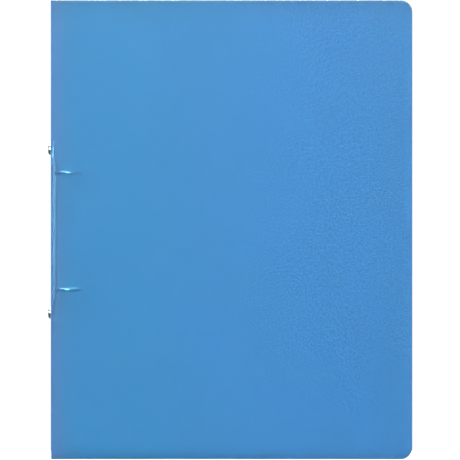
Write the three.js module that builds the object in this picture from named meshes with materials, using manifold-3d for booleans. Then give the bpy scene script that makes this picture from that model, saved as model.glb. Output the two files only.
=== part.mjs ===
// A slim A4 ring binder, closed and standing on its bottom edge.
//
// The case is one die-cut sheet of translucent polypropylene, creased twice into a front cover, a
// spine and a back cover. A two-ring mechanism of nickel-plated steel is riveted inside the spine:
// an arched rail whose rolled edges hold two hinge plates, with half of each ring staked to each
// plate. Pulling the rings apart tips both plates over centre, and the halves part at their tips.
//
// Units are millimetres and +Z is up. In the working frame x runs from the spine's outer face to the
// fore edge, y from the front cover (negative) to the back cover (positive), and z up from the base.
// The last lines shift the whole binder so that its origin is the middle of its base.
import * as THREE from "three";
import { mergeVertices } from "three/addons/utils/BufferGeometryUtils.js";
import Module from "manifold-3d";

// Case
const COVER_WIDTH = 246.6; // spine's outer face to fore edge
const COVER_HEIGHT = 313;
const SPINE_WIDTH = 27; // outer face to outer face
const SHEET = 0.8; // polypropylene sheet
const CORNER_RADIUS = 8; // the covers' fore-edge corners
const FOLD_RADIUS = 0.32; // the thinned web left by a crease
const FOLD_GAP = 0.65; // fold axis to the edge of the panel beside it

// Gap kept between pieces that touch on the real binder
const GAP = 0.2;

// Ring mechanism
const MECHANISM_Z = COVER_HEIGHT / 2 - 1; // height of its middle
const RING_PITCH = 80; // ISO 838 hole spacing
const RING_BORE = 16;
const RING_WIRE = 2.6; // wire diameter
const RING_X = 11; // ring centre from the spine's outer face
const TIP_GAP = 0.3; // between the two closed half rings

const STEEL = 0.6; // rail sheet
const RAIL_BASE = SHEET + GAP; // the rail's underside, on the spine
const RAIL_CROWN = 4.1; // highest line of the arch
const RAIL_SHOULDER = 3; // where the arch meets the rail's side walls
const RAIL_HALF_WIDTH = 7.2;
const RAIL_LIP = 0.9; // rolled edge, measured inwards from the side wall
const ARCH_HALF_LENGTH = 51.2; // the arch's foot at each end
const CROWN_HALF_LENGTH = 46; // where the crown starts to slope to the foot
const TAB_RADIUS = 5.2; // round end of the rail around each rivet

const PIVOT_X = 2.1; // hinge plates turn about their outer edges
const PIVOT_Y = 6.1;
const PLATE = 0.6;
const PLATE_HALF_LENGTH = 45.4;
const PLATE_TILT = THREE.MathUtils.degToRad(5.5); // inner edges lie low while the rings are closed
const PEG_Y = 4.85; // where a half ring is staked to its plate
const PEG_RADIUS = 0.55;
const SHANK_RADIUS = 0.8; // the wire is turned down inside the rail
const WIRE_END = THREE.MathUtils.degToRad(137); // full wire ends here, from the ring's tip
const SHANK_END = THREE.MathUtils.degToRad(147);

// Rivets
const RIVET_PITCH = 112;
const RIVET_HEAD_RADIUS = 3.5;
const RIVET_HEAD_HEIGHT = 1.4;
const RIVET_RIM = 0.35; // straight rim below the head's dome
const RIVET_SHANK = 1.8;
const RIVET_BORE = 1.1;
const WASHER_RADIUS = 3.6;
const WASHER = 0.5;

// Derived places
const FOLD_X = SHEET / 2;
const FOLD_Y = SPINE_WIDTH / 2 - SHEET / 2;
const RING_RADIUS = (RING_BORE + RING_WIRE) / 2;
const HEAD_STANDOFF = 2 * GAP + WASHER + RIVET_HEAD_HEIGHT; // rivet head's top from the spine
const FRONT = -1;
const BACK = 1;

const wasm = await Module();
wasm.setup();

// A closed three.js geometry as a solid that can be joined and cut.
function solidOf(geometry) {
  const bare = geometry.clone();
  bare.deleteAttribute("normal");
  bare.deleteAttribute("uv");
  const merged = mergeVertices(bare, 1e-4);
  return new wasm.Manifold(
    new wasm.Mesh({
      numProp: 3,
      vertProperties: merged.attributes.position.array,
      triVerts: new Uint32Array(merged.index.array),
    }),
  );
}

function geometryOf(solid) {
  const { vertProperties, triVerts } = solid.getMesh();
  const geometry = new THREE.BufferGeometry();
  geometry.setAttribute("position", new THREE.BufferAttribute(vertProperties, 3));
  geometry.setIndex(new THREE.BufferAttribute(triVerts, 1));
  geometry.computeVertexNormals();
  return geometry;
}

const join = (...geometries) => geometryOf(geometries.map(solidOf).reduce((a, b) => a.add(b)));
const common = (a, b) => geometryOf(solidOf(a).intersect(solidOf(b)));
const cut = (body, ...tools) =>
  geometryOf(tools.map(solidOf).reduce((left, tool) => left.subtract(tool), solidOf(body)));

// A box between two corners.
function block([x0, y0, z0], [x1, y1, z1]) {
  const box = new THREE.BoxGeometry(x1 - x0, y1 - y0, z1 - z0);
  return box.translate((x0 + x1) / 2, (y0 + y1) / 2, (z0 + z1) / 2);
}

// A section in x and y, extruded upwards from z0 to z1.
function upright(section, z0, z1, curveSegments = 12) {
  const options = { depth: z1 - z0, bevelEnabled: false, curveSegments };
  return new THREE.ExtrudeGeometry(section, options).translate(0, 0, z0);
}

// An outline in x and z, extruded through the thickness from y0 to y1.
function standing(outline, y0, y1, curveSegments = 12) {
  const options = { depth: y1 - y0, bevelEnabled: false, curveSegments };
  return new THREE.ExtrudeGeometry(outline, options).rotateX(Math.PI / 2).translate(0, y1, 0);
}

// An outline in y and z, extruded outwards from x0 to x1.
function facing(outline, x0, x1, curveSegments = 12) {
  const options = { depth: x1 - x0, bevelEnabled: false, curveSegments };
  const turned = new THREE.Matrix4().makeBasis(
    new THREE.Vector3(0, 1, 0),
    new THREE.Vector3(0, 0, 1),
    new THREE.Vector3(1, 0, 0),
  );
  return new THREE.ExtrudeGeometry(outline, options).applyMatrix4(turned).translate(x0, 0, 0);
}

// A round bar along x.
function bar(radius, x0, x1, y, z, sides = 20) {
  const cylinder = new THREE.CylinderGeometry(radius, radius, x1 - x0, sides);
  return cylinder.rotateZ(Math.PI / 2).translate((x0 + x1) / 2, y, z);
}

// A turned piece about the x axis, from (radius, x) points that start and end on the axis.
function turned(profile, sides = 28) {
  const points = profile.map(([radius, x]) => new THREE.Vector2(radius, x));
  return new THREE.LatheGeometry(points, sides).rotateZ(-Math.PI / 2);
}

// Part of a ring's circle, from its tip towards one cover. Angles run from the tip.
class RingArc extends THREE.Curve {
  constructor(side, start, end) {
    super();
    Object.assign(this, { side, start, end });
  }
  getPoint(t, target = new THREE.Vector3()) {
    const angle = this.start + t * (this.end - this.start);
    const out = this.side * RING_RADIUS * Math.sin(angle);
    return target.set(RING_X + RING_RADIUS * Math.cos(angle), out, 0);
  }
}

function wire(path, radius, steps) {
  const section = new THREE.Shape().absarc(0, 0, radius, 0, 2 * Math.PI);
  return new THREE.ExtrudeGeometry(section, { extrudePath: path, steps, curveSegments: 8 });
}

// Materials
const polypropylene = new THREE.MeshStandardMaterial({
  color: 0x4e94d0,
  roughness: 0.45,
  metalness: 0,
  transparent: true,
  opacity: 0.85,
});
const nickel = new THREE.MeshStandardMaterial({ color: 0xc9cacb, roughness: 0.22, metalness: 1 });
const zincPlate = new THREE.MeshStandardMaterial({ color: 0xa9adb0, roughness: 0.4, metalness: 1 });

const binder = new THREE.Group();

function add(name, geometry, material, parent = binder) {
  const mesh = new THREE.Mesh(geometry, material);
  mesh.name = name;
  parent.add(mesh);
  return mesh;
}

// A cover: a flat panel with rounded fore-edge corners, square where it meets its fold.
function coverPanel(side) {
  const left = FOLD_X + FOLD_GAP;
  const right = COVER_WIDTH;
  const r = CORNER_RADIUS;
  const outline = new THREE.Shape();
  outline.moveTo(left, 0);
  outline.lineTo(right - r, 0);
  outline.absarc(right - r, r, r, -Math.PI / 2, 0);
  outline.lineTo(right, COVER_HEIGHT - r);
  outline.absarc(right - r, COVER_HEIGHT - r, r, 0, Math.PI / 2);
  outline.lineTo(left, COVER_HEIGHT);
  outline.closePath();
  const middle = side * FOLD_Y;
  return standing(outline, middle - SHEET / 2, middle + SHEET / 2, 8);
}

const rivetHeights = [-1, 1].map((way) => MECHANISM_Z + (way * RIVET_PITCH) / 2);
const ringHeights = [-1, 1].map((way) => MECHANISM_Z + (way * RING_PITCH) / 2);
const [LOWER, UPPER] = [0, 1];

function spinePanel() {
  const halfWidth = FOLD_Y - FOLD_GAP;
  const plain = block([0, -halfWidth, 0], [SHEET, halfWidth, COVER_HEIGHT]);
  const holes = rivetHeights.map((z) => bar(RIVET_SHANK + GAP, -1, SHEET + 1, 0, z));
  return cut(plain, ...holes);
}

// A living hinge: the thin web that the crease leaves between two panels.
function fold(side) {
  const web = new THREE.CylinderGeometry(FOLD_RADIUS, FOLD_RADIUS, COVER_HEIGHT, 12);
  return web.rotateX(Math.PI / 2).translate(FOLD_X, side * FOLD_Y, COVER_HEIGHT / 2);
}

add("front_cover", coverPanel(FRONT), polypropylene);
add("spine_panel", spinePanel(), polypropylene);
add("back_cover", coverPanel(BACK), polypropylene);
add("front_fold", fold(FRONT), polypropylene);
add("back_fold", fold(BACK), polypropylene);

// The mechanism is built about its own middle and raised as one group.
const mechanism = new THREE.Group();
mechanism.position.z = MECHANISM_Z;
binder.add(mechanism);

// The rail's section: an arch between two side walls, filled down to its base.
function archSection(inset, base) {
  const halfWidth = RAIL_HALF_WIDTH - inset;
  const crown = RAIL_CROWN - inset;
  const rise = RAIL_CROWN - RAIL_SHOULDER;
  const radius = (RAIL_HALF_WIDTH ** 2 + rise ** 2) / (2 * rise) - inset;
  const reach = Math.asin(halfWidth / radius);
  const section = new THREE.Shape();
  section.absarc(crown - radius, 0, radius, -reach, reach);
  section.lineTo(base, halfWidth);
  section.lineTo(base, -halfWidth);
  section.closePath();
  return section;
}

// The rail's side view: a straight crown that slopes down to a foot at each end.
function archSide(inset, base) {
  const foot = ARCH_HALF_LENGTH - 1.4 * inset;
  const crown = CROWN_HALF_LENGTH - 0.6 * inset;
  const low = RAIL_BASE + STEEL - inset;
  const high = RAIL_CROWN + STEEL - inset;
  const outline = new THREE.Shape();
  outline.moveTo(base, -foot);
  outline.lineTo(low, -foot);
  outline.lineTo(high, -crown);
  outline.lineTo(high, crown);
  outline.lineTo(low, foot);
  outline.lineTo(base, foot);
  outline.closePath();
  return outline;
}

// One end of the rail: a flat tab that narrows to a round end about its rivet.
function railTab(way) {
  const rivet = (way * RIVET_PITCH) / 2;
  const root = way * (ARCH_HALF_LENGTH - 2 * STEEL);
  const outline = new THREE.Shape();
  outline.absarc(0, rivet, TAB_RADIUS, Math.PI, 0, way > 0);
  outline.lineTo(RAIL_HALF_WIDTH, root);
  outline.lineTo(-RAIL_HALF_WIDTH, root);
  outline.closePath();
  return facing(outline, RAIL_BASE, RAIL_BASE + STEEL, 10);
}

function mechanismRail() {
  const halfBox = ARCH_HALF_LENGTH + 1;
  const below = RAIL_BASE - 1;
  const outer = common(
    upright(archSection(0, RAIL_BASE), -halfBox, halfBox),
    standing(archSide(0, RAIL_BASE), -RAIL_HALF_WIDTH - 1, RAIL_HALF_WIDTH + 1),
  );
  const hollow = common(
    upright(archSection(STEEL, RAIL_BASE + STEEL), -halfBox, halfBox),
    standing(archSide(STEEL, below), -RAIL_HALF_WIDTH, RAIL_HALF_WIDTH),
  );
  const lipEdge = RAIL_HALF_WIDTH - STEEL - RAIL_LIP;
  const mouthEnd = ARCH_HALF_LENGTH - 2 * STEEL;
  const mouth = block([below, -lipEdge, -mouthEnd], [RAIL_BASE + 2 * STEEL, lipEdge, mouthEnd]);
  // Each half ring comes out through a notch that is open to its own side.
  const notch = RING_WIRE / 2 + 0.5;
  const notches = [FRONT, BACK].flatMap((side) =>
    [-1, 1].map((way) => {
      const z = (way * RING_PITCH) / 2;
      const [y0, y1] = [side * 3.2, side * (RAIL_HALF_WIDTH + 1)].sort((a, b) => a - b);
      return block([RAIL_SHOULDER - 0.2, y0, z - notch], [RAIL_CROWN + 1, y1, z + notch]);
    }),
  );
  const rivetHoles = [-1, 1].map((way) =>
    bar(RIVET_SHANK + GAP, below, RAIL_BASE + 2, 0, (way * RIVET_PITCH) / 2),
  );
  const shell = cut(outer, hollow, mouth, ...notches);
  return cut(join(shell, railTab(-1), railTab(1)), ...rivetHoles);
}
add("mechanism_rail", mechanismRail(), nickel, mechanism);

// A hinge plate, flat about its pivot line before it is tilted, with a hole for each half ring's peg.
// Its own frame has the pivot at the origin and runs towards the rail's middle.
function hingePlate(side) {
  const width = PIVOT_Y - GAP;
  const [y0, y1] = [0, -side * width].sort((a, b) => a - b);
  const strip = block([-PLATE / 2, y0, -PLATE_HALF_LENGTH], [PLATE / 2, y1, PLATE_HALF_LENGTH]);
  const holes = [-1, 1].map((way) =>
    bar(PEG_RADIUS + GAP, -PLATE, PLATE, -side * (PIVOT_Y - PEG_Y), (way * RING_PITCH) / 2, 12),
  );
  return cut(strip, ...holes);
}

// Half a ring: full wire outside the rail, a thinner shank inside it, and a peg through the plate.
function halfRing(side) {
  const tip = TIP_GAP / 2 / RING_RADIUS;
  const foot = new RingArc(side, SHANK_END, SHANK_END).getPoint(0);
  const pegEnd = PIVOT_X - (PIVOT_Y - PEG_Y) * Math.sin(PLATE_TILT) - PLATE / 2;
  return join(
    wire(new RingArc(side, tip, WIRE_END), RING_WIRE / 2, 26),
    wire(new RingArc(side, WIRE_END - 0.05, SHANK_END), SHANK_RADIUS, 3),
    bar(PEG_RADIUS, pegEnd, foot.x, side * PEG_Y, 0, 12),
  );
}

for (const [sideName, side] of [
  ["front", FRONT],
  ["back", BACK],
]) {
  const plate = add(`${sideName}_hinge_plate`, hingePlate(side), zincPlate, mechanism);
  plate.position.set(PIVOT_X, side * PIVOT_Y, 0);
  plate.rotation.z = -side * PLATE_TILT;
  for (const [ringName, way] of [
    ["upper", 1],
    ["lower", -1],
  ]) {
    const ring = add(`${ringName}_${sideName}_half_ring`, halfRing(side), nickel, mechanism);
    ring.position.z = (way * RING_PITCH) / 2;
  }
}

// A tubular rivet: a domed head outside the spine, and an end rolled over on the rail's tab.
function rivet() {
  const seat = -HEAD_STANDOFF + RIVET_HEAD_HEIGHT;
  const rise = RIVET_HEAD_HEIGHT - RIVET_RIM;
  const dome = [0, 18, 36, 54, 72, 90].map((degrees) => {
    const angle = THREE.MathUtils.degToRad(degrees);
    return [RIVET_HEAD_RADIUS * Math.sin(angle), seat - RIVET_RIM - rise * Math.cos(angle)];
  });
  const rolled = RAIL_BASE + STEEL + GAP;
  return turned([
    ...dome,
    [RIVET_HEAD_RADIUS, seat],
    [RIVET_SHANK, seat],
    [RIVET_SHANK, rolled],
    [RIVET_SHANK + 0.9, rolled],
    [RIVET_SHANK + 0.9, rolled + 0.4],
    [RIVET_SHANK + 0.4, rolled + 0.8],
    [RIVET_BORE, rolled + 0.8],
    [RIVET_BORE, 0],
    [0, 0],
  ]);
}

function washer() {
  const section = new THREE.Shape().absarc(0, 0, WASHER_RADIUS, 0, 2 * Math.PI);
  section.holes.push(new THREE.Path().absarc(0, 0, RIVET_SHANK + GAP, 0, 2 * Math.PI));
  return facing(section, -GAP - WASHER, -GAP, 14);
}

for (const [name, z] of [
  ["upper", rivetHeights[UPPER]],
  ["lower", rivetHeights[LOWER]],
]) {
  add(`${name}_rivet`, rivet(), nickel).position.z = z;
  add(`${name}_rivet_washer`, washer(), zincPlate).position.z = z;
}

// The origin is the middle of the base, rivet heads included.
binder.position.x = -(COVER_WIDTH - HEAD_STANDOFF) / 2;

const ringBinder = new THREE.Group();
ringBinder.add(binder);

export default ringBinder;
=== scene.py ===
# %% [markdown]
# # A slim ring binder in frosted blue plastic
#
# The binder is translucent polypropylene sheet, creased twice, with a small steel ring mechanism
# riveted inside its spine. It stands closed on its bottom edges, its front cover towards us.
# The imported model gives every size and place. This lesson builds finer surfaces round it, gives
# them finishes, and lights them so that the mechanism glows faintly through the cover.

import itertools
import math

import bmesh
import bpy
from mathutils import Matrix, Vector


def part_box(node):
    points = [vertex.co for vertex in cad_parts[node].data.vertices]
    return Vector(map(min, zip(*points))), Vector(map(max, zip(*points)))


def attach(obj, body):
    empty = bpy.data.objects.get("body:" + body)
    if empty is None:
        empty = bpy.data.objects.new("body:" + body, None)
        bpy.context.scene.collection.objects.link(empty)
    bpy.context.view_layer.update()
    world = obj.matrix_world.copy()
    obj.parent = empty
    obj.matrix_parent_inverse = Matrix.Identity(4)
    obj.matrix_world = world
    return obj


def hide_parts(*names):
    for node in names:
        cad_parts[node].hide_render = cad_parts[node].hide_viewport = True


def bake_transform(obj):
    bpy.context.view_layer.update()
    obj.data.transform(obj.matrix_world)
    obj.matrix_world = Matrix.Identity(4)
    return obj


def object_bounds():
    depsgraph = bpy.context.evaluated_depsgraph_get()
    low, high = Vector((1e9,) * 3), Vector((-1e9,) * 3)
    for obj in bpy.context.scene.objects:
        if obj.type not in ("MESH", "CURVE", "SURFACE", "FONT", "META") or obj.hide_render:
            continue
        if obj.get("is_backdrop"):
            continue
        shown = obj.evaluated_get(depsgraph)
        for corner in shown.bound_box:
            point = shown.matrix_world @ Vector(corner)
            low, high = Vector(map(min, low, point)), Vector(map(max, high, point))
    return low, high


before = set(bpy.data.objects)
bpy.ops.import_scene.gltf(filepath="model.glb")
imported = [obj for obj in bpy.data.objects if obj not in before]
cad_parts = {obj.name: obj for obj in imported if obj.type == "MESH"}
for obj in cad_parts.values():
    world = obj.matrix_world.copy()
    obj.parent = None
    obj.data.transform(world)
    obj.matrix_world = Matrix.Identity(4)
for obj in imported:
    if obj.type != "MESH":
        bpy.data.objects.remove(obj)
cad_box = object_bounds()
MM = 0.001

# %% [markdown]
# ## Sizes read from the model
#
# A few lengths shape everything else: the sheet's thickness, the two crease lines, and the places
# of the rings and rivets. They could be typed in again, but reading them from the model's own
# boxes keeps every new piece where the old one was.

# %% Measure the model
cover_low, cover_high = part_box("front_cover")
spine_low, spine_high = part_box("spine_panel")
fold_low, fold_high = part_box("front_fold")
rail_low, rail_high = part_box("mechanism_rail")

SHEET = cover_high.y - cover_low.y
CREASE = (fold_low + fold_high) / 2
CREASE_GAP = cover_low.x - CREASE.x  # from the crease's line to the flat of each panel
HEIGHT = cover_high.z
FORE_EDGE = cover_high.x
SPINE_FACE = spine_low.x


def height_of(node):
    """How high a node's middle is."""
    low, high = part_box(node)
    return (low.z + high.z) / 2


LOWER_RING, UPPER_RING = (height_of(f"{place}_front_half_ring") for place in ("lower", "upper"))
LOWER_RIVET, UPPER_RIVET = (height_of(f"{place}_rivet") for place in ("lower", "upper"))
print(f"sheet {SHEET / MM:.2f} mm thick, {HEIGHT / MM:.0f} mm tall")
RING_PITCH = UPPER_RING - LOWER_RING
RIVET_PITCH = UPPER_RIVET - LOWER_RIVET
print(f"rings {RING_PITCH / MM:.0f} mm apart, rivets {RIVET_PITCH / MM:.0f} mm apart")

# %% [markdown]
# ## Writing node trees as sums
#
# Materials and repeats are both trees of nodes, which are slow to read when they are built call by
# call. Two small classes help. `Tree` adds any node in one line, and `Value` lets a number that
# comes out of a node be added or multiplied in plain Python.


# %% Node tools
class Value:
    """Something that comes out of a node. Numbers can be added, subtracted and so on."""

    def __init__(self, tree, socket):
        self.tree = tree
        self.socket = socket

    def _maths(self, operation, first, second):
        return self.tree.node("ShaderNodeMath", {"operation": operation}, {0: first, 1: second})

    def __add__(self, other):
        return self._maths("ADD", self, other)

    def __radd__(self, other):
        return self._maths("ADD", other, self)

    def __sub__(self, other):
        return self._maths("SUBTRACT", self, other)

    def __rsub__(self, other):
        return self._maths("SUBTRACT", other, self)

    def __mul__(self, other):
        return self._maths("MULTIPLY", self, other)

    def __rmul__(self, other):
        return self._maths("MULTIPLY", other, self)


class Tree:
    """A tree of nodes under construction."""

    def __init__(self, tree):
        self.tree = tree
        self.tree.nodes.clear()

    def node(self, kind, settings=None, inputs=None, output=0):
        """Adds a node: its settings first, then the value or link of each named socket."""
        made = self.tree.nodes.new(kind)
        for name, setting in (settings or {}).items():
            setattr(made, name, setting)
        for name, value in (inputs or {}).items():
            if isinstance(value, Value):
                self.tree.links.new(value.socket, made.inputs[name])
            else:
                made.inputs[name].default_value = value
        return Value(self, made.outputs[output]) if made.outputs else None


class Finish(Tree):
    """A material under construction."""

    def __init__(self, name):
        self.material = bpy.data.materials.new(name)
        self.material.use_nodes = True
        super().__init__(self.material.node_tree)

    def noise(self, place, size, detail=2.0, stretch=(1, 1, 1)):
        """Cloudy variation from 0 to 1 whose patches are about this many millimetres."""
        scaled = self.node("ShaderNodeMapping", None, {"Vector": place, "Scale": stretch})
        sizes = {"Scale": 1 / (size * MM), "Detail": detail, "Roughness": 0.55}
        return self.node("ShaderNodeTexNoise", None, {"Vector": scaled, **sizes}, "Fac")

    def between(self, value, low, high, start=0.0, end=1.0):
        """The value from low to high spread over start to end, and held at the ends."""
        sizes = {"From Min": low, "From Max": high, "To Min": start, "To Max": end}
        return self.node("ShaderNodeMapRange", {"clamp": True}, {"Value": value, **sizes})

    def mix(self, share, first, second):
        """Two colours, mixed by share."""
        return self.node("ShaderNodeMix", {"data_type": "RGBA"}, {0: share, 6: first, 7: second}, 2)

    def bump(self, height, depth):
        """A surface direction from a height of 0 to 1, which stands this many millimetres high."""
        sizes = {"Distance": depth * MM, "Strength": 0.5}
        return self.node("ShaderNodeBump", None, {"Height": height, **sizes})

    def shader(self, **inputs):
        """The main surface shader. Its sockets are named with underscores for spaces."""
        named = {name.replace("_", " "): value for name, value in inputs.items()}
        return self.node("ShaderNodeBsdfPrincipled", None, named)

    def done(self, shader):
        """Ends the tree and gives the material."""
        self.node("ShaderNodeOutputMaterial", None, {"Surface": shader})
        return self.material


# %% [markdown]
# ## Frosted polypropylene
#
# The sheet is tinted all through and rolled with a fine sand on both faces. Some of the light
# scatters back out as solid blue, and most goes through, blurred a little by the sand, so the
# steel close behind the cover shows sharply and anything farther back melts into haze. One shader
# could only tint both alike, so two are mixed: a blue face, and clear rough glass with its own
# paler tint. Near the creases the colour is painted paler and pinker, a painted sheen for the side
# light the bent sheet catches there. Farther from the crease it is painted a little redder, a
# painted sheen for the gloss the light lays over the cover.
#
# The pattern is read from a flat chart of each panel, measured in metres from its crease, so it
# stays put on the plastic when a cover swings. The die leaves the cut edges torn and matt, so they
# hold their light and look darker, and get a solid finish of their own.


# %% Frosted polypropylene
def frosted_polypropylene():
    finish = Finish("frosted_blue_polypropylene")
    chart = finish.node("ShaderNodeUVMap", {"uv_map": "chart"})
    across = finish.node("ShaderNodeSeparateXYZ", None, {0: chart})
    cloud = finish.noise(chart, 70, detail=3)
    sand = finish.noise(chart, 1.3, detail=2)
    near_crease = finish.between(across, 1 * MM, 14 * MM, 0.3, 0.0)
    far = finish.between(across, 60 * MM, 190 * MM)
    sandy = finish.between(sand, 0.4, 0.6) * (far + near_crease * 0.5 + 0.05)
    base = finish.mix(cloud, (0.056, 0.300, 0.70, 1), (0.062, 0.312, 0.71, 1))
    # Painted sheen: the tone turns a little redder farther from the crease, standing in for the
    # light's gloss there.
    base = finish.mix(far, base, (0.082, 0.300, 0.72, 1))
    # Painted sheen: paler and pinker near the crease, standing in for side light caught where the
    # sheet bends.
    base = finish.mix(near_crease, base, (0.42, 0.33, 0.70, 1))
    face = finish.shader(
        Base_Color=finish.mix(sandy * 0.8, base, (0.040, 0.20, 0.50, 1)),
        Roughness=finish.between(sand, 0.3, 0.7, 0.22, 0.30),
        IOR=1.49,
        Normal=finish.bump(sandy, 0.012),
    )
    clear = finish.shader(
        Base_Color=finish.mix(sandy * 0.8, (0.46, 0.88, 1.0, 1), (0.38, 0.76, 0.9, 1)),
        Roughness=0.11,
        IOR=1.49,
        Transmission_Weight=1.0,
    )
    share = finish.between(cloud, 0.2, 0.8, 0.87, 0.89) - sandy * 0.12
    return finish.done(finish.node("ShaderNodeMixShader", None, {0: share, 1: face, 2: clear}))


def cut_polypropylene():
    finish = Finish("cut_edge_of_polypropylene")
    place = finish.node("ShaderNodeTexCoord", output="Object")
    torn = finish.noise(place, 0.5, detail=3)
    shader = finish.shader(
        Base_Color=finish.mix(torn, (0.055, 0.24, 0.56, 1), (0.075, 0.28, 0.62, 1)),
        Roughness=finish.between(torn, 0.3, 0.7, 0.45, 0.6),
        Normal=finish.bump(torn, 0.02),
    )
    return finish.done(shader)


plastic = frosted_polypropylene()
cut_plastic = cut_polypropylene()
print("finishes:", plastic.name, "and", cut_plastic.name)

# %% [markdown]
# ## Plated steel
#
# The rings and rivets are nickel plated and bright, and the rail is a satin nickel. The washers and
# the two plates under the rail are duller zinc. All carry the fine drawing marks of the strip or
# wire they were made from, and a faint clouding of the plating. A painted map would do the same,
# but noise needs no unwrapping and has no seams.


# %% Plated steel
def plated_steel(name, colour, roughness, marks, stretch=(1, 1, 1)):
    finish = Finish(name)
    place = finish.node("ShaderNodeTexCoord", output="Object")
    cloud = finish.noise(place, 9, detail=4)
    drawn = finish.noise(place, 0.3, detail=3, stretch=stretch)
    darker = tuple(0.82 * channel for channel in colour)
    shader = finish.shader(
        Base_Color=finish.mix(cloud, (*colour, 1), (*darker, 1)),
        Roughness=finish.between(drawn, 0.25, 0.75, roughness * 0.8, roughness * 1.3),
        Metallic=1.0,
        Normal=finish.bump(drawn, marks),
    )
    return finish.done(shader)


ACROSS_WIRE = (0.04, 0.04, 1)
ALONG_STRIP = (1, 1, 0.04)

nickel = plated_steel("bright_nickel_plate", (0.72, 0.71, 0.69), 0.2, 0.008)
# Painted shade: the ring wire's nickel is made dimmer and a little purple beside the rivets'
# nickel, standing in for the dark the rings show through the cover.
ring_nickel_painted_dim = plated_steel("nickel_plated_wire", (0.60, 0.58, 0.60), 0.22, 0.06, ACROSS_WIRE)
satin_nickel = plated_steel("satin_nickel_plate", (0.43, 0.44, 0.45), 0.44, 0.02, ALONG_STRIP)
zinc = plated_steel("dull_zinc_plate", (0.36, 0.38, 0.40), 0.48, 0.02, ALONG_STRIP)
print("finishes:", [finish.name for finish in (nickel, ring_nickel_painted_dim, satin_nickel, zinc)])

# %% [markdown]
# ## Drawing pieces as meshes
#
# Each piece starts as a few points and faces, then modifiers thicken it, cut it or round its
# edges. A helper turns the result into a plain mesh, smooth except where its faces really meet at
# a corner.


# %% Mesh tools
def draft(name, points, faces=(), edges=()):
    """A new piece from its points, given in metres."""
    mesh = bpy.data.meshes.new(name)
    mesh.from_pydata([tuple(point) for point in points], list(edges), list(faces))
    piece = bpy.data.objects.new(name, mesh)
    bpy.context.scene.collection.objects.link(piece)
    return piece


def grid_faces(columns, rows, wrap=False):
    """The faces between columns of points, each with the same number of rows."""
    faces = []
    for left in range(0, (columns - 1) * rows, rows):
        right = left + rows
        for row in range(rows if wrap else rows - 1):
            above = (row + 1) % rows
            faces.append((left + row, right + row, right + above, left + above))
    return faces


def turned(name, profile, sides=64):
    """A closed piece turned about a line along x, from (x, radius) points that start and end on it,
    or from a closed loop of them."""
    ring = [2 * math.pi * side / sides for side in range(sides)]
    points = [(x, r * math.cos(a), r * math.sin(a)) for x, r in profile for a in ring]
    piece = draft(name, points, grid_faces(len(profile), sides, wrap=True))
    tidy(piece.data)
    return piece


def tidy(mesh):
    """Joins points that share a place and turns every face outwards."""
    work = bmesh.new()
    work.from_mesh(mesh)
    bmesh.ops.remove_doubles(work, verts=work.verts, dist=1e-7)
    bmesh.ops.dissolve_degenerate(work, edges=work.edges, dist=1e-8)
    bmesh.ops.recalc_face_normals(work, faces=work.faces)
    work.to_mesh(mesh)
    work.free()


def coat(piece, *finishes):
    """Gives a piece its finishes, the main one first."""
    for finish in finishes:
        piece.data.materials.append(finish)


def thicken(piece, thickness, group=""):
    """Gives a surface its thickness, half to each side. Its rim takes the last finish."""
    wall = piece.modifiers.new("wall", "SOLIDIFY")
    wall.material_offset_rim = len(piece.data.materials) - 1
    wall.thickness = thickness
    wall.offset = 0
    wall.use_even_offset = True
    wall.vertex_group = group


def round_edges(piece, width):
    """Rounds the edges where faces meet at a real corner."""
    edge = piece.modifiers.new("edge", "BEVEL")
    edge.width = width
    edge.segments = 2
    edge.limit_method = "ANGLE"
    edge.angle_limit = math.radians(50)


def cut(piece, tool):
    """Cuts one piece out of another."""
    removal = piece.modifiers.new("cut", "BOOLEAN")
    removal.operation = "DIFFERENCE"
    removal.solver = "EXACT"
    removal.object = tool


def joined(name, tools):
    """Separate closed pieces as one mesh."""
    work = bmesh.new()
    for tool in tools:
        work.from_mesh(tool.data)
        bpy.data.objects.remove(tool)
    mesh = bpy.data.meshes.new(name)
    work.to_mesh(mesh)
    work.free()
    piece = bpy.data.objects.new(name, mesh)
    bpy.context.scene.collection.objects.link(piece)
    return piece


SHARP = 20  # degrees between two faces, past which the edge between them stays crisp


def finished(piece, name, tools=()):
    """The piece as a plain mesh, with its modifiers worked into it."""
    graph = bpy.context.evaluated_depsgraph_get()
    graph.update()
    mesh = bpy.data.meshes.new_from_object(piece.evaluated_get(graph))
    for used in (piece, *tools):
        bpy.data.objects.remove(used)
    mesh.name = name
    mesh.shade_smooth()
    mesh.set_sharp_from_angle(angle=math.radians(SHARP))
    made = bpy.data.objects.new(name, mesh)
    bpy.context.scene.collection.objects.link(made)
    print(f"{name}: {len(mesh.polygons)} faces")
    return made


def bar(x0, x1, y, z, radius, sides=48):
    """A round bar along x."""
    piece = turned("bar", [(x0, 0), (x0, radius), (x1, radius), (x1, 0)], sides)
    piece.data.transform(Matrix.Translation((0, y, z)))
    return piece


def block(low, high):
    """A box between two corners."""
    points = list(itertools.product(*zip(low, high, strict=True)))
    sides = [(0, 1, 3, 2), (4, 6, 7, 5), (0, 4, 5, 1), (2, 3, 7, 6), (0, 2, 6, 4), (1, 5, 7, 3)]
    return draft("block", points, sides)


def chart_panel(piece, across):
    """Charts a panel flat, by how far each point is from its crease and how high it is."""
    layer = piece.data.uv_layers.new(name="chart")
    for loop in piece.data.loops:
        point = piece.data.vertices[loop.vertex_index].co
        layer.data[loop.index].uv = (across(point), point.z)


# %% [markdown]
# ## The covers
#
# The real case is die cut flat from one sheet, with its fore-edge corners rounded, and a hot blade
# presses the two creases in. A crease leaves a thinner web that bends a few thousand times before
# it tires. So each cover is drawn as one surface that starts at the spine, turns the corner
# through the web and runs to the fore edge, then is thickened, less at the web. On the real case
# the web bends between the spine and the cover when it opens.

# %% Covers
CORNER = 8 * MM
WEB_THINNING = 0.4
ROWS = 56
COLUMNS = 40


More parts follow.
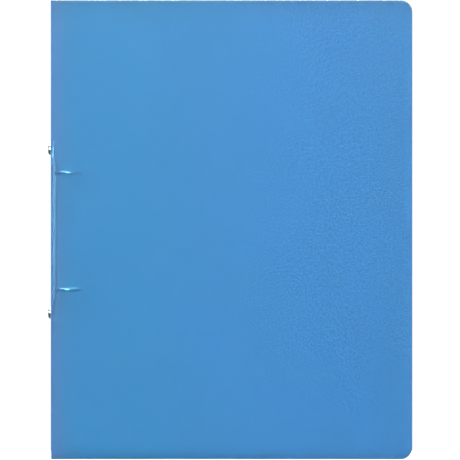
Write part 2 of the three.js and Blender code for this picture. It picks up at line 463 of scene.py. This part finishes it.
def cover_section(side):
    """Points in x and y along the middle of the sheet, each with its share of full thickness."""
    outside = side * -CREASE.y
    inside = outside - side * CREASE_GAP
    flat = CREASE.x + CREASE_GAP
    straight = FORE_EDGE - CORNER
    points = []
    for step in range(13):
        angle = math.radians(7.5 * step)
        x = flat - CREASE_GAP * math.cos(angle)
        y = inside + side * CREASE_GAP * math.sin(angle)
        points.append((x, y, 1 - WEB_THINNING * math.sin(2 * angle) ** 2))
    points.append((flat + 0.15 * MM, outside, 1.0))  # keeps the web's shading off the flat
    for step in range(1, COLUMNS + 1):
        points.append((flat + (straight - flat) * step / COLUMNS, outside, 1.0))
    for step in range(1, 11):
        points.append((straight + CORNER * math.sin(math.radians(9 * step)), outside, 1.0))
    return points


def cover_sheet(name, side, old_nodes):
    section = cover_section(side)
    points, shares = [], []
    for x, y, share in section:
        past = max(0.0, x - (FORE_EDGE - CORNER))
        trim = CORNER - math.sqrt(max(0.0, CORNER**2 - past**2))
        for row in range(ROWS):
            points.append((x, y, trim + (HEIGHT - 2 * trim) * row / (ROWS - 1)))
            shares.append(share)
    piece = draft(name, points, grid_faces(len(section), ROWS))
    group = piece.vertex_groups.new(name="share")
    for index, share in enumerate(shares):
        group.add([index], share, "REPLACE")
    coat(piece, plastic, cut_plastic)
    thicken(piece, SHEET, "share")
    round_edges(piece, 0.12 * MM)
    made = finished(piece, name)
    tidy(made.data)
    chart_panel(made, lambda point: point.x - CREASE.x)
    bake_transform(made)
    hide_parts(*old_nodes)


cover_sheet("front_cover_sheet", -1, ("front_cover", "front_fold"))
cover_sheet("back_cover_sheet", 1, ("back_cover", "back_fold"))

# %% [markdown]
# ## The spine
#
# The strip between the creases has two punched holes for the rivets. Cutting the holes keeps the
# hollow rivets from running through solid plastic. The rivets lock the mechanism here and nowhere
# else, so the covers stay free.

# %% Spine panel
half_spine = spine_high.y - 0.02 * MM
panel = block((SPINE_FACE, -half_spine, 0), (SPINE_FACE + SHEET, half_spine, HEIGHT))
RIVET_HOLE = 2 * MM
through = (SPINE_FACE - SHEET, SPINE_FACE + 2 * SHEET)
holes = joined("holes", [bar(*through, 0, z, RIVET_HOLE) for z in (LOWER_RIVET, UPPER_RIVET)])
coat(panel, plastic, cut_plastic)
cut(panel, holes)
round_edges(panel, 0.1 * MM)
spine = finished(panel, "spine_sheet", tools=[holes])
for face in spine.data.polygons:
    face.material_index = int(abs(face.normal.x) < 0.5)
chart_panel(spine, lambda point: half_spine - abs(point.y))
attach(spine, "spine")
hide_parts("spine_panel")

# %% [markdown]
# ## Sweeping wire and repeating upwards
#
# The mechanism is the same few shapes at two heights. Geometry Nodes suit both jobs. One tree
# sweeps a round section along a path, as wire is drawn, with a thickness read at each point. The
# other stands copies of a shape above each other. Both end as real meshes, so what is drawn here
# is what is kept.


# %% Trees for wire and repeats
def geometry_tree(name, inputs):
    """An empty tree: a shape, the named inputs and a material go in, and a shape comes out."""
    group = bpy.data.node_groups.new(name, "GeometryNodeTree")
    tree = Tree(group)
    shape, material = ("Shape", "NodeSocketGeometry"), ("Material", "NodeSocketMaterial")
    for label, kind in (shape, *inputs, material):
        group.interface.new_socket(label, in_out="INPUT", socket_type=kind)
    group.interface.new_socket("Shape", in_out="OUTPUT", socket_type="NodeSocketGeometry")
    entry = group.nodes.new("NodeGroupInput")
    return tree, {socket.name: Value(tree, socket) for socket in entry.outputs if socket.name}


def end_tree(tree, shape, material):
    real = tree.node("GeometryNodeRealizeInstances", None, {"Geometry": shape})
    coated = tree.node("GeometryNodeSetMaterial", None, {"Geometry": real, "Material": material})
    tree.node("NodeGroupOutput", None, {"Shape": coated})
    return tree.tree


def wire_tree():
    tree, given = geometry_tree("swept_wire", [("Sides", "NodeSocketInt")])
    path = tree.node("GeometryNodeMeshToCurve", None, {"Mesh": given["Shape"]})
    circle = {"Resolution": given["Sides"], "Radius": 1.0}
    section = tree.node("GeometryNodeCurvePrimitiveCircle", None, circle)
    kind, name = {"data_type": "FLOAT"}, {"Name": "wire_radius"}
    radius = tree.node("GeometryNodeInputNamedAttribute", kind, name)
    sizes = {"Profile Curve": section, "Scale": radius, "Fill Caps": True}
    wire = tree.node("GeometryNodeCurveToMesh", None, {"Curve": path, **sizes})
    return end_tree(tree, wire, given["Material"])


def stack_tree():
    inputs = [("Count", "NodeSocketInt"), ("Pitch", "NodeSocketFloat")]
    tree, given = geometry_tree("stacked_copies", inputs)
    step = tree.node("ShaderNodeCombineXYZ", None, {"Z": given["Pitch"]})
    points = tree.node("GeometryNodeMeshLine", None, {"Count": given["Count"], "Offset": step})
    sources = {"Points": points, "Instance": given["Shape"]}
    copies = tree.node("GeometryNodeInstanceOnPoints", None, sources)
    return end_tree(tree, copies, given["Material"])


def grow(piece, group, **inputs):
    """Adds a tree to a piece and sets the tree's inputs by name."""
    modifier = piece.modifiers.new(group.name, "NODES")
    for item in group.interface.items_tree:
        if item.in_out == "INPUT" and item.name in inputs:
            modifier[item.identifier] = inputs[item.name]
    modifier.node_group = group


swept_wire = wire_tree()
stacked_copies = stack_tree()
print("trees:", swept_wire.name, "and", stacked_copies.name)

# %% [markdown]
# ## The half rings
#
# Each ring is two bent wires that meet in the middle. The free end is chamfered by the cropping
# tool. Inside the rail the wire is turned down to a thinner shank, bends, and is staked through a
# hole in its hinge plate. The two front halves move together, as do the two back halves, so each
# pair is one piece with its body.

# %% Half rings
RING_MIDDLE = SPINE_FACE + 11 * MM
RING_RADIUS = 9.3 * MM
WIRE = 1.3 * MM
SHANK = 0.8 * MM
PEG = 0.55 * MM
PEG_Y = 4.85 * MM


def ring_path(side):
    """Points along one half ring, each with the wire's radius there."""

    def on_ring(degrees):
        angle = math.radians(degrees)
        return RING_MIDDLE + RING_RADIUS * math.cos(angle), side * RING_RADIUS * math.sin(angle)

    chamfer = ((0.95, 0.35), (1.4, 0.16), (2.4, 0.03))
    path = [(*on_ring(degrees), WIRE - less * MM) for degrees, less in chamfer]
    path += [(*on_ring(4 + 3.8 * step), WIRE) for step in range(36)]
    path += [(*on_ring(degrees), SHANK) for degrees in (139, 143, 147)]
    peg = ((2.72, SHANK), (2.6, PEG), (1.62, PEG))
    staked_end = ((1.58, 0.82 * MM), (1.44, 0.78 * MM), (1.36, 0.6 * MM))
    return path + [(SPINE_FACE + x * MM, side * PEG_Y, radius) for x, radius in peg + staked_end]


def half_rings(name, side, body, old_nodes):
    path = ring_path(side)
    points = [(x, y, LOWER_RING) for x, y, _ in path]
    piece = draft(name, points, edges=[(i, i + 1) for i in range(len(points) - 1)])
    radii = piece.data.attributes.new("wire_radius", "FLOAT", "POINT")
    for item, (_, _, radius) in zip(radii.data, path, strict=True):
        item.value = radius
    grow(piece, swept_wire, Sides=28, Material=ring_nickel_painted_dim)
    grow(piece, stacked_copies, Count=2, Pitch=RING_PITCH, Material=ring_nickel_painted_dim)
    made = finished(piece, name)
    tidy(made.data)
    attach(made, body)
    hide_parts(*old_nodes)


front_nodes = ("upper_front_half_ring", "lower_front_half_ring")
back_nodes = ("upper_back_half_ring", "lower_back_half_ring")
half_rings("front_half_rings", -1, "front_ring_halves", front_nodes)
half_rings("back_half_rings", 1, "back_ring_halves", back_nodes)

# %% [markdown]
# ## The rivets and their washers
#
# A tubular rivet is a pressed head on a hollow shank, whose end is rolled outwards over the rail's
# tab. A washer spreads its pull over the soft plastic. Both are turned shapes, so a section is
# drawn once, spun, and stacked at the rivets' spacing. Sections are points of depth from the
# spine's face and radius, both in millimetres.

# %% Rivets and washers
SEAT = -0.9
dome = [
    (SEAT - 0.35 - 1.05 * math.cos(angle), 3.5 * math.sin(angle))
    for angle in (math.radians(7.5 * step) for step in range(12))
]
rim = [(SEAT - 0.35, 3.49), (SEAT - 0.12, 3.5), (SEAT - 0.03, 3.46), (SEAT, 3.36)]
shank = [(SEAT, 1.8), (1.8, 1.8)]
roll = [
    (2.25 - 0.45 * math.cos(angle), 1.9 + 0.8 * math.sin(angle))
    for angle in (math.radians(15 * step) for step in range(2, 11))
]
bore = [(2.5, 1.2), (2.3, 1.1), (0, 1.1), (0, 0)]
rivet = dome + rim + shank + roll + bore
outer = [(-0.7, 3.5), (-0.62, 3.58), (-0.28, 3.58), (-0.2, 3.5)]
washer = [(-0.7, 2.05), *outer, (-0.2, 2.05), (-0.7, 2.05)]


def stacked(name, profile, finish, old_nodes):
    """A turned piece at both rivets' heights."""
    piece = turned(name, [(SPINE_FACE + x * MM, radius * MM) for x, radius in profile])
    piece.data.transform(Matrix.Translation((0, 0, LOWER_RIVET)))
    grow(piece, stacked_copies, Count=2, Pitch=RIVET_PITCH, Material=finish)
    made = finished(piece, name)
    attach(made, "spine")
    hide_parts(*old_nodes)


rivet_nodes = ("upper_rivet", "lower_rivet")
washer_nodes = ("upper_rivet_washer", "lower_rivet_washer")
stacked("tubular_rivets", rivet, nickel, rivet_nodes)
stacked("rivet_washers", washer, zinc, washer_nodes)

# %% [markdown]
# ## The rail
#
# The rail is pressed from one strip of spring steel: an arch with short walls that flattens at
# each end into a round tab for its rivet. Blending from the arched section to the flat one gives
# the smooth slopes that pressing leaves. The notches for the rings and the rivet holes are then
# cut, and every edge is rounded as by tumbling.

# %% Rail
STEEL = 0.6 * MM
RAIL_MIDDLE = (rail_low.z + rail_high.z) / 2
HALF_WIDTH = rail_high.y - STEEL / 2
BASE = rail_low.x + STEEL / 2
CROWN = rail_high.x - STEEL / 2
SHOULDER = CROWN - 1.0 * MM
CROWN_END, ARCH_END, TAB = 46 * MM, 51.2 * MM, 5.2 * MM
HALF_LENGTH = rail_high.z - RAIL_MIDDLE
CROWN_SHARE = 0.78  # how much of the half section the crown takes, before the wall
SECTION = 29


def arched(share):
    """The arch's section, for a share of -1 to 1 of the way across."""
    if abs(share) > CROWN_SHARE:
        down = (abs(share) - CROWN_SHARE) / (1 - CROWN_SHARE)
        return SHOULDER - (SHOULDER - BASE) * down, math.copysign(HALF_WIDTH, share)
    y = HALF_WIDTH * share / CROWN_SHARE
    return CROWN - (CROWN - SHOULDER) * (y / HALF_WIDTH) ** 2, y


def tab_width(along):
    """Half the flat tab's width, which narrows to a round end about the rivet."""
    rivet = HALF_LENGTH - TAB
    if along > rivet:
        return math.sqrt(max(TAB**2 - (along - rivet) ** 2, (0.4 * MM) ** 2))
    return HALF_WIDTH + (TAB - HALF_WIDTH) * max(0.0, along - ARCH_END) / (rivet - ARCH_END)


stations = [i / 12 * CROWN_END for i in range(13)]
stations += [CROWN_END + i / 10 * (ARCH_END - CROWN_END) for i in range(1, 11)]
stations += [ARCH_END + i / 4 * (HALF_LENGTH - TAB - ARCH_END) for i in range(1, 5)]
stations += [HALF_LENGTH - TAB + TAB * math.sin(math.radians(7.5 * i)) for i in range(1, 13)]
stations = [-along for along in reversed(stations[1:])] + stations
surface = []
for along in stations:
    slope = min(1.0, max(0.0, (abs(along) - CROWN_END) / (ARCH_END - CROWN_END)))
    flatness = slope * slope * (3 - 2 * slope)
    for index in range(SECTION):
        share = 2 * index / (SECTION - 1) - 1
        x, y = arched(share)
        flat_y = tab_width(abs(along)) * share
        pressed = (x + (BASE - x) * flatness, y + (flat_y - y) * flatness)
        surface.append((*pressed, RAIL_MIDDLE + along))
strip = draft("strip", surface, grid_faces(len(stations), SECTION))
coat(strip, satin_nickel)
thicken(strip, STEEL)
NOTCH = WIRE + 0.5 * MM
notches = [
    block((SHOULDER - 0.2 * MM, min(y0, y1), z - NOTCH), (CROWN + 1 * MM, max(y0, y1), z + NOTCH))
    for z in (LOWER_RING, UPPER_RING)
    for y0, y1 in ((-3.2 * MM, -9 * MM), (3.2 * MM, 9 * MM))
]
through = (SPINE_FACE, SPINE_FACE + 3 * MM)
rivet_holes = [bar(*through, 0, z, RIVET_HOLE) for z in (LOWER_RIVET, UPPER_RIVET)]
punches = joined("punches", notches + rivet_holes)
cut(strip, punches)
round_edges(strip, 0.1 * MM)
rail = finished(strip, "pressed_rail", tools=[punches])
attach(rail, "spine")
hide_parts("mechanism_rail")

# %% [markdown]
# ## The hinge plates
#
# Two flat plates lie under the rail and snap over centre to open and close the rings. The packed
# model already has their exact shape, so they keep it and only take the zinc finish.

# %% Hinge plates
for node in ("front_hinge_plate", "back_hinge_plate"):
    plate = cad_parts[node].data
    plate.materials.clear()
    plate.materials.append(zinc)
    print(node, "in", zinc.name)

# %% [markdown]
# ## The studio
#
# The case stands on a pale floor against white. A high, soft key light in front gives the cover its
# colour and puts a glint on each ring. It hangs far off, so it falls evenly from top to bottom, and
# well above the cover's own mirror direction, so it leaves no glare. A narrow black card above the
# case keeps that light from falling straight in between the covers. A weak, wide panel at the left
# catches the rivet heads. Behind the case, a softbox lights its back and a faint glow shows the
# steel dark against it. Only what the camera
# sees straight on is burnt out to white. Through the plastic and in the steel, the floor and the
# room are equally dim, so no line crosses the covers where the floor ends.

# %% Floor, room and lights
scene = bpy.context.scene
scene.view_settings.view_transform = "Standard"

floor = draft("floor", [(-2, -1.4, 0), (2, -1.4, 0), (2, 0.12, 0), (-2, 0.12, 0)], [(0, 1, 2, 3)])
paint = Finish("pale_floor")
straight_on = paint.node("ShaderNodeLightPath", output="Is Camera Ray")
paint_place = paint.node("ShaderNodeTexCoord", output="Object")
paint_cloud = paint.noise(paint_place, 400, detail=2)
pale = paint.mix(paint_cloud, (0.86, 0.86, 0.86, 1), (0.88, 0.88, 0.88, 1))
paint_shader = paint.shader(
    Base_Color=paint.mix(straight_on, (0, 0, 0, 1), pale),
    Roughness=0.7,
    Specular_IOR_Level=0.0,
    Emission_Color=paint.mix(straight_on, (0.1, 0.1, 0.1, 1), (1, 1, 1, 1)),
    Emission_Strength=0.8,
)
floor.data.materials.append(paint.done(paint_shader))
floor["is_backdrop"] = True

flag_y = cover_low.y + SHEET / 2
flag_foot, flag_top, flag_side = HEIGHT + 1 * MM, HEIGHT + 34 * MM, 140 * MM
flag_points = [
    (-flag_side, flag_y, flag_foot),
    (flag_side, flag_y, flag_foot),
    (flag_side, flag_y, flag_top),
    (-flag_side, flag_y, flag_top),
]
flag = draft("black_flag", flag_points, [(0, 1, 2, 3)])
card = Finish("black_card")
fibre = card.noise(card.node("ShaderNodeTexCoord", output="Object"), 2, detail=2)
soot = card.mix(fibre, (0.01, 0.01, 0.01, 1), (0.02, 0.02, 0.02, 1))
flag.data.materials.append(card.done(card.shader(Base_Color=soot, Roughness=0.9)))
flag.visible_camera = False
flag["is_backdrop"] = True

world = bpy.data.worlds.new("studio")
scene.world = world
world.use_nodes = True
room = Tree(world.node_tree)
dim = room.node("ShaderNodeBackground", None, {"Color": (1, 1, 1, 1), "Strength": 0.08})
white = room.node("ShaderNodeBackground", None, {"Color": (1, 1, 1, 1), "Strength": 1.05})
seen = room.node("ShaderNodeLightPath", output="Is Camera Ray")
walls = room.node("ShaderNodeMixShader", None, {0: seen, 1: dim, 2: white})
room.node("ShaderNodeOutputWorld", None, {"Surface": walls})


def softbox(name, azimuth, elevation, distance, size, power):
    """A soft light aimed at the case, placed by how far it is turned from the camera and raised."""
    turn, rise = math.radians(azimuth), math.radians(elevation)
    level = math.cos(rise)
    towards = Vector((math.sin(turn) * level, -math.cos(turn) * level, math.sin(rise)))
    light = bpy.data.lights.new(name, "AREA")
    light.shape = "RECTANGLE"
    light.size, light.size_y = size
    light.energy = power
    lamp = bpy.data.objects.new(name, light)
    lamp.location = Vector((0, 0, HEIGHT / 2)) + distance * towards
    lamp.rotation_euler = (-towards).to_track_quat("-Z", "Y").to_euler()
    lamp.visible_camera = False
    scene.collection.objects.link(lamp)


softbox("key_softbox", -2, 32, 6.0, (3.0, 3.8), 1220)
softbox("back_softbox", -160, 42, 2.2, (1.0, 1.0), 150)
softbox("backdrop_glow", 180, 0, 1.8, (2.4, 1.8), 1.5)
softbox("left_panel", -85, 2, 1.5, (4.0, 1.0), 2.5)

# %% [markdown]
# ## The camera
#
# A long lens a few metres away looks straight at the front cover, level with its middle, so the
# covers' edges stay parallel. The lens is chosen so that the case fills the frame from top to
# bottom.

# %% Camera
DISTANCE = 3.5
FRAME = 460
STEP = HEIGHT / (FRAME - 1)  # one of the frame's steps, measured at the front cover
SIDEWAYS = 1.55 * STEP  # the case stands this far right of the frame's middle
lens = bpy.data.cameras.new("camera")
lens.clip_end = 50
lens.lens = lens.sensor_width * DISTANCE / (FRAME * STEP)
camera = bpy.data.objects.new("camera", lens)
middle = (SPINE_FACE + FORE_EDGE) / 2 - SIDEWAYS
camera.location = (middle, cover_low.y - DISTANCE, HEIGHT / 2)
camera.rotation_euler = (math.pi / 2, 0, 0)
scene.collection.objects.link(camera)
scene.camera = camera
print(f"lens {lens.lens:.0f} mm at {DISTANCE} m")

# %% [markdown]
# ## The two boxes
#
# The finer surfaces are meant to fill the same box as the imported model, so both boxes are
# printed side by side.

# %% The two boxes
visual_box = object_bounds()
for name, (low, high) in (("model", cad_box), ("surfaces", visual_box)):
    print(name, [round((high[i] - low[i]) / MM, 1) for i in range(3)], "mm")
